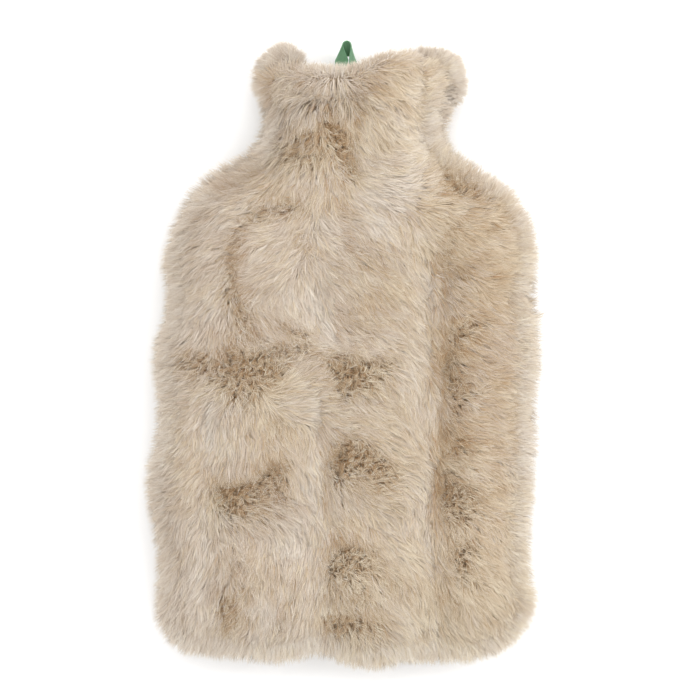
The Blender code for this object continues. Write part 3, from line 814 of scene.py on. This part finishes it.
def fur_material():
    material, nodes, links, shader = new_material("fur")
    uv = nodes.new("ShaderNodeUVMap")
    uv.uv_map = "strand"
    split = nodes.new("ShaderNodeSeparateXYZ")
    links.new(uv.outputs["UV"], split.inputs[0])
    doubled = maths(nodes, links, "MULTIPLY", split.outputs["X"], 2)
    tone = maths(nodes, links, "FRACT", doubled, 0)
    family = maths(nodes, links, "GREATER_THAN", split.outputs["X"], 0.5)
    shades = []
    for colours in (WARM_DARK, WARM_PALE, GREY_DARK, GREY_PALE):
        stops = [(place, srgb(*c)) for place, c in zip(FUR_STOPS, colours)]
        shade = ramp(nodes, stops)
        links.new(split.outputs["Y"], shade.inputs["Fac"])
        shades.append(shade.outputs["Color"])
    warm = mixed(nodes, links, tone, shades[0], shades[1])
    grey = mixed(nodes, links, tone, shades[2], shades[3])
    links.new(mixed(nodes, links, family, warm, grey), shader.inputs["Base Color"])
    set_inputs(
        shader, {"Roughness": 0.7, "Specular IOR Level": 0.12, "Sheen Weight": 0.05}
    )
    return material


def backing_material():
    material, nodes, links, shader = new_material("knitted_backing")
    place = nodes.new("ShaderNodeTexCoord").outputs["Object"]
    courses = {"Scale": 190, "Distortion": 1.2, "Detail": 1}
    courses = wave(nodes, links, place, "X", courses)
    wales = wave(nodes, links, place, "Y", {"Scale": 150, "Distortion": 0.8})
    height = maths(nodes, links, "MULTIPLY", courses, wales)
    relief = {"Strength": 0.5, "Distance": 0.0004}
    # the darker colour is painted shade in the knit's hollows
    woven(nodes, links, shader, height, (172, 146, 116), (212, 192, 164), relief)
    set_inputs(shader, {"Roughness": 0.9})
    return material


def ribbon_material():
    material, nodes, links, shader = new_material("green_ribbon")
    uv = nodes.new("ShaderNodeUVMap")
    uv.uv_map = "OFBake"
    ribs = wave(nodes, links, uv.outputs["UV"], "Y", {"Scale": 24})
    relief = {"Strength": 0.4, "Distance": 0.0002}
    # the darker green is painted shade in the ribbon's grooves
    woven(nodes, links, shader, ribs, (92, 142, 104), (120, 170, 130), relief)
    set_inputs(shader, {"Roughness": 0.48, "Sheen Weight": 0.3})
    return material


FUR = fur_material()
KNIT = backing_material()
RIBBON = ribbon_material()


# ---- backings

def cloth(name, points, faces, material, crease):
    """A smooth mesh, sharp where faces meet at more than crease degrees."""
    mesh = bpy.data.meshes.new(name)
    mesh.from_pydata(points, [], faces)
    mesh.materials.append(material)
    mesh.shade_smooth()
    mesh.set_sharp_from_angle(angle=math.radians(crease))
    return linked(name, mesh)


def backing(name, maps, low, high):
    """A thin cloth between two height maps, inside the outline."""
    xs = np.arange(MAP_X[0], MAP_X[-1], BACKING_GRID)
    ys = np.arange(MAP_Y[0], MAP_Y[-1], BACKING_GRID)
    x, y = np.meshgrid(xs, ys)
    depth = read(maps.depth, x, y) - inset(y)
    kept = depth > BACKING_KEPT * BACKING_GRID
    near = kept & (depth < BACKING_MOVED * BACKING_GRID)
    for _ in range(3):
        gap = (read(maps.depth, x, y) - inset(y)) * near
        dx, dy = read(maps.out_x, x, y) * gap, read(maps.out_y, x, y) * gap
        x, y = x + dx, y + dy
    rows, columns = x.shape
    corner = np.arange(rows * columns).reshape(rows, columns)
    quads = np.stack(
        [corner[:-1, :-1], corner[:-1, 1:], corner[1:, 1:], corner[1:, :-1]], -1
    ).reshape(-1, 4)
    quads = quads[kept.ravel()[quads].all(1)]
    used, quads = np.unique(quads, return_inverse=True)
    quads = quads.reshape(-1, 4).tolist()
    px, py = x.ravel()[used], y.ravel()[used]
    points = [p for level in (low, high) for p in zip(px, py, read(level, px, py))]
    count = len(used)
    edges = {(a, b) for q in quads for a, b in zip(q, q[1:] + q[:1])}
    faces = [tuple(reversed(q)) for q in quads]
    faces += [tuple(v + count for v in q) for q in quads]
    rim = [(a, b) for a, b in sorted(edges) if (b, a) not in edges]
    faces += [(a, b, b + count, a + count) for a, b in rim]
    return cloth(name, points, faces, KNIT, BACKING_CREASE)


# ---- pile

def way_out(maps, x, y):
    return np.stack([read(maps.out_x, x, y), read(maps.out_y, x, y)], 1)


def scattered(maps, count):
    """Scattered places on a panel's backing, closer together along its edge."""
    found, total = [], 0
    while total < count:
        x = chance.uniform(MAP_X[0], MAP_X[-1], count)
        y = chance.uniform(MAP_Y[0], MAP_Y[-1], count)
        within = read(maps.depth, x, y) - inset(y)
        edge = ease((DENSE_EDGE - within) / DENSE_FADE)
        likely = INNER_ROOTS + (1 - INNER_ROOTS) * edge
        taken = (within > 0) & (chance.random(count) < likely)
        found.append(np.stack([x[taken], y[taken]], 1))
        total += int(taken.sum())
    return np.concatenate(found)[:count].T


def fanning(maps, x, y):
    """1 at the backing's edge, falling to 0 over the zone where the pile fans out."""
    zone = FAN_ZONE + (MOUTH_FAN_ZONE - FAN_ZONE) * mouthness(y)
    ragged = clouds(x, y, FAN_NOISE) + chance.normal(0, FAN_CHANCE, len(x))
    return ease((inset(y) + zone - read(maps.depth, x, y)) / zone + ragged)


def outward(maps, x, y, heading, fan, least):
    """Turns a heading partly outward where the pile fans out, and more where the
    combing runs along the edge."""
    out = way_out(maps, x, y)
    along = (heading * out).sum(1)
    share = least + OUTWARD_MORE * (OUTWARD_FROM - along)
    share = (fan * np.clip(share, least, OUTWARD_MOST))[:, None]
    return unit(heading * (1 - share) + out * share)


def onward(deeper, span):
    """0 until the other panel lies far enough beyond, and 1 a span further on."""
    return ease((deeper - SHOWS_FROM) / span)


def pieces(name, shape, strands, x, y, tones, widths, greyer):
    """Gives each strand a width and a place on the palette, warm or grey, and splits
    the strands into pieces under the limit on triangles."""
    count = len(tones)
    tones = np.clip(tones + chance.normal(0, TONE_SPREAD, count), *TONE_LIMITS)
    grey = GREY - GREY_RISE * x + clouds(x, y, GREY_NOISE) + GREY_EXTRA * greyer
    family = chance.random(count) < np.clip(grey, *GREY_LIMITS)
    strands["tones"] = FAMILY_START + FAMILY_SPAN * tones + FAMILY_STEP * family
    strands["widths"] = widths * chance.uniform(*WIDTH_LIMITS, count)
    triangles = count * sum(len(face) - 2 for face in shape[1])
    parts = math.ceil(triangles / PIECE_TRIANGLES)
    return [
        strand_mesh(f"{name}_{k + 1}", strands, part, shape)
        for k, part in enumerate(np.array_split(chance.permutation(count), parts))
    ]


def front_pile(count, width, shape, name):
    x, y = scattered(front, count)
    fan = fanning(front, x, y)
    deeper = read(back.depth, x, y) - read(front.depth, x, y)
    rim = fan * (1 - onward(deeper, RIM_SPAN))
    laid = combed(x, y)
    seen_x, seen_y = (
        root + SEEN * laid[:, k] + chance.normal(0, STRAY, count)
        for k, root in enumerate((x, y))
    )
    part = parting((x + seen_x) / 2, (y + seen_y) / 2)
    tuft, flat = np.clip(part, 0, 1), np.clip(-part, 0, 1)
    sway = clouds(x, y, SWAY) + (1 - PRESSED_CALM * flat) * clouds(x, y, FINE_SWAY)
    least = OUTWARD + (MOUTH_OUTWARD - OUTWARD) * mouthness(y)
    heading = outward(front, x, y, turned(laid, sway), fan, least)
    pull = np.clip(PULL + PULL_PART * part, *PULL_LIMITS) * (1 - FAN_LOOSE * fan)
    reach = OVERREACH + SPILL * onward(deeper, SPILL_SPAN)
    reach += MOUTH_REACH * mouthness(y) * (read(front.out_y, x, y) > FACING_NECK)
    strands = grow(
        front, x, y, FRONT_CLOTH, FRONT_OUTER, 1, heading, part, fan, reach,
        pull, weighed(WOBBLE, tuft**TUFT_POWER, flat),
    )
    lock, takes_mark = strands["luck"].T
    always, by_luck = MARK_TONE
    # the rim's strands are painted paler: painted light through the fringe
    tones = weighed(TONE, tuft, flat) + clouds(x, y, TONE_NOISE) + PAINTED_RIM_LIGHT * rim
    # the marks' shade column: painted shade in valleys, creases and tufts, painted
    # light on pressed panels, ridges and rims
    tones -= marked("shade", seen_x, seen_y) * (always + by_luck * takes_mark)
    # sunken pit strands are painted darker: painted shade between the locks
    tones += weighed(LOCK_TONE, tuft, flat) * (lock - 0.5) + PAINTED_PIT_SHADE * strands["pit"]
    tones += weighed(STRAND_TONE, tuft, flat) * chance.normal(0, 1, count)
    widths = width * (1 - RIM_THIN * rim) * (1 - TUFT_THIN * tuft)
    greyer = rim + weighed(GREY_MORE, tuft, flat)
    return pieces(name, shape, strands, x, y, tones, widths, greyer)


def back_pile(count, width, shape, name):
    x, y = scattered(back, count)
    fan = fanning(back, x, y)
    share = fan[:, None]
    heading = unit(combed(x, y) * share + np.array(BACK_WAY) * (1 - share))
    heading = turned(heading, clouds(x, y, BACK_SWAY))
    heading = outward(back, x, y, heading, fan, BACK_OUTWARD)
    level = np.zeros(count)
    strands = grow(
        back, x, y, BACK_CLOTH, BACK_OUTER, -1, heading, level, fan,
        OVERREACH, BACK_PULL * (1 - BACK_LOOSE * fan), level + BACK_WOBBLE,
    )
    least, most = LOWEST
    lowest = least + (most - least) * chance.random((count, 1))
    paths = strands["paths"]
    paths[:, :, 2] = np.maximum(paths[:, :, 2], lowest)
    tones = BACK_TONE + BACK_LOCK_TONE * (strands["luck"][:, 0] - 0.5)
    # fanned edge strands are painted paler: painted light through the fringe
    tones += clouds(x, y, BACK_TONE_NOISE) + PAINTED_BACK_FAN_LIGHT * fan
    widths = width * (1 - FAN_THIN * fan)
    return pieces(name, shape, strands, x, y, tones, widths, fan)


def collar_pile(count, width, shape, name):
    """Pile on the upper side of the back's collar, where it shows past the front."""
    x = chance.uniform(*COLLAR_X, COLLAR_TRIES * count)
    y = chance.uniform(*COLLAR_Y, COLLAR_TRIES * count)
    shows = read(back.depth, x, y) > MOUTH_INSET
    shows &= read(front.depth, x, y) < COLLAR_OVERLAP
    x, y = x[shows][:count], y[shows][:count]
    fan = fanning(back, x, y)
    heading = turned(combed(x, y), clouds(x, y, COLLAR_SWAY))
    heading = outward(back, x, y, heading, fan, COLLAR_OUTWARD)
    level = np.zeros(len(x))
    strands = grow(
        back, x, y, BACK_CLOTH + BACKING, blurred(back.high, 2), 1, heading,
        level + COLLAR_STAND, COLLAR_FAN * fan, 2 * OVERREACH,
        COLLAR_PULL - COLLAR_LOOSE * fan, level + COLLAR_WOBBLE,
    )
    tones = COLLAR_TONE + COLLAR_LOCK_TONE * (strands["luck"][:, 0] - 0.5)
    # fanned collar strands are painted paler: painted light through the fringe
    tones += PAINTED_COLLAR_FAN_LIGHT * fan + clouds(x, y, COLLAR_TONE_NOISE)
    # painted light on the right ear, over the shade beside the front's edge
    tones += RIGHT_TONE * ease(x / RIGHT_RISE) + PAINTED_EAR_LIGHT * ease((x - EAR_X) / EAR_RISE)
    tones += chance.normal(0, COLLAR_SPREAD, len(x))
    widths, greyer = width * (1 - FAN_THIN * fan), fan + COLLAR_GREY
    return pieces(name, shape, strands, x, y, tones, widths, greyer)


# ---- ribbon loop

def smooth(at, ys):
    """Cubic pieces through ys at 0, 1, 2 and on, with no overshoot."""
    rises = np.diff(ys)
    slopes = np.concatenate([rises[:1], (rises[:-1] + rises[1:]) / 2, rises[-1:]])
    slopes[1:-1][rises[:-1] * rises[1:] <= 0] = 0
    piece = np.clip(np.floor(at).astype(int), 0, len(ys) - 2)
    t = at - piece
    start = ys[piece] * (1 + 2 * t) * (1 - t) ** 2
    end = ys[piece + 1] * t * t * (3 - 2 * t)
    leave = slopes[piece] * t * (1 - t) ** 2
    return start + end + leave + slopes[piece + 1] * t * t * (t - 1)


def loop_edges():
    """The ribbon's upper and lower edge, from one sewn end to the other."""
    left = [(-a, b, -c, d) for a, b, c, d in reversed(LEFT_RIBS)]
    ribs = np.array(left + [TOP_RIB] + list(RIGHT_RIBS)) / 1000
    steps = np.linspace(0, len(ribs) - 1, (len(ribs) - 1) * RIB_STEPS + 1)
    upper_out, upper_down, lower_out, lower_down = (
        smooth(steps, ribs[:, k]) for k in range(len(RIB_COLUMNS))
    )
    level = np.hypot(upper_out - lower_out, upper_down - lower_down)
    rise = np.sqrt(np.maximum(RIBBON_WIDTH**2 - level**2, 0))
    base = np.full(len(steps), LOOP_BASE)
    upper = np.stack([LOOP_ACROSS + upper_out, LOOP_TOP - upper_down, base + rise], 1)
    lower = np.stack([LOOP_ACROSS + lower_out, LOOP_TOP - lower_down, base], 1)
    return upper, lower


def ribbon_loop():
    upper, lower = loop_edges()
    through = unit(np.cross(np.gradient((upper + lower) / 2, axis=0), upper - lower))
    rows = 2 * (RIBBON_STRIPS + 1)
    points, faces = [], []
    for high, low, way in zip(upper, lower, through):
        for layer in (1, -1):
            for k in range(RIBBON_STRIPS + 1):
                share = k / RIBBON_STRIPS if layer > 0 else 1 - k / RIBBON_STRIPS
                edge = abs(share - 0.5) > SELVEDGE_FROM
                half = RIBBON_THICKNESS / 2 * (SELVEDGE if edge else 1)
                points.append(tuple(low + (high - low) * share + way * layer * half))
    for n in range(len(upper) - 1):
        for k in range(rows):
            a, b = n * rows + k, n * rows + (k + 1) % rows
            faces.append((a, b, b + rows, a + rows))
    last = (len(upper) - 1) * rows
    faces.append(tuple(reversed(range(rows))))
    faces.append(tuple(range(last, last + rows)))
    obj = cloth("ribbon_loop", points, faces, RIBBON, RIBBON_CREASE)
    mesh = obj.data
    layer = mesh.uv_layers.new(name="OFBake")
    for face in mesh.polygons:
        for corner in face.loop_indices:
            station, k = divmod(mesh.loops[corner].vertex_index, rows)
            u = k / rows + (k == 0 and face.index % rows == rows - 1)
            place = np.array([u, station / len(upper)])
            layer.data[corner].uv = UV_MARGIN + UV_SPAN * place
    return obj


# ---- the cover

front_backing = backing("front_backing", front, FRONT_CLOTH - BACKING, FRONT_CLOTH)
back_backing = backing("back_backing", back, BACK_CLOTH, BACK_CLOTH + BACKING)
front_fur = front_pile(FRONT_BLADES, BLADE_WIDTH, BLADE, "front_pile")
front_fur += front_pile(FRONT_HAIRS, HAIR_WIDTH, HAIR, "front_hair")
back_fur = back_pile(BACK_BLADES, BACK_BLADE_WIDTH, BLADE, "back_pile")
back_fur += back_pile(BACK_HAIRS, BACK_HAIR_WIDTH, HAIR, "back_hair")
back_fur += collar_pile(COLLAR_BLADES, BLADE_WIDTH, BLADE, "collar_pile")
back_fur += collar_pile(COLLAR_HAIRS, HAIR_WIDTH, HAIR, "collar_hair")
loop = ribbon_loop()

for node, slot, group in (
    ("front_panel", "fur", [front_backing, *front_fur]),
    ("back_panel", "fur", [back_backing, *back_fur]),
    ("hanging_loop", "ribbon", [loop]),
):
    for piece in group:
        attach(piece, "root")
        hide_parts(node)


# ---- floor, light, camera

def floor():
    mesh = bpy.data.meshes.new("floor")
    r = FLOOR_REACH
    corners = [(-r, -r, 0), (r, -r, 0), (r, r, 0), (-r, r, 0)]
    mesh.from_pydata(corners, [], [(0, 1, 2, 3)])
    material, _, _, shader = new_material("paper")
    set_inputs(shader, {"Base Color": (1, 1, 1, 1), "Roughness": 0.95})
    mesh.materials.append(material)
    obj = linked("floor", mesh)
    obj.location.z = FLOOR_LEVEL


def lights():
    world = bpy.data.worlds.new("studio")
    world.use_nodes = True
    sky = world.node_tree.nodes["Background"]
    set_inputs(sky, {"Color": (1, 1, 1, 1), "Strength": SKY_STRENGTH})
    bpy.context.scene.world = world
    for light in rows_of(SOFTBOXES, SOFTBOX_COLUMNS):
        data = bpy.data.lights.new(light["name"], "AREA")
        data.shape = "RECTANGLE"
        data.size, data.size_y = light["size"]
        data.energy, data.color = light["watts"], light["colour"]
        obj = linked(light["name"], data)
        obj.location = light["place"]
        way = -Vector(light["place"])
        obj.rotation_euler = way.to_track_quat("-Z", "Y").to_euler()


def camera():
    data = bpy.data.cameras.new("camera")
    data.sensor_width = SENSOR
    data.lens = SENSOR * (CAMERA_HEIGHT - OUTLINE_HEIGHT) / FRAME_WIDTH
    data.clip_start, data.clip_end = 0.05, 20
    obj = linked("camera", data)
    obj.location = (*FRAME_CENTRE, CAMERA_HEIGHT)
    bpy.context.scene.camera = obj


floor()
lights()
camera()
bpy.context.scene.view_settings.view_transform = "Standard"
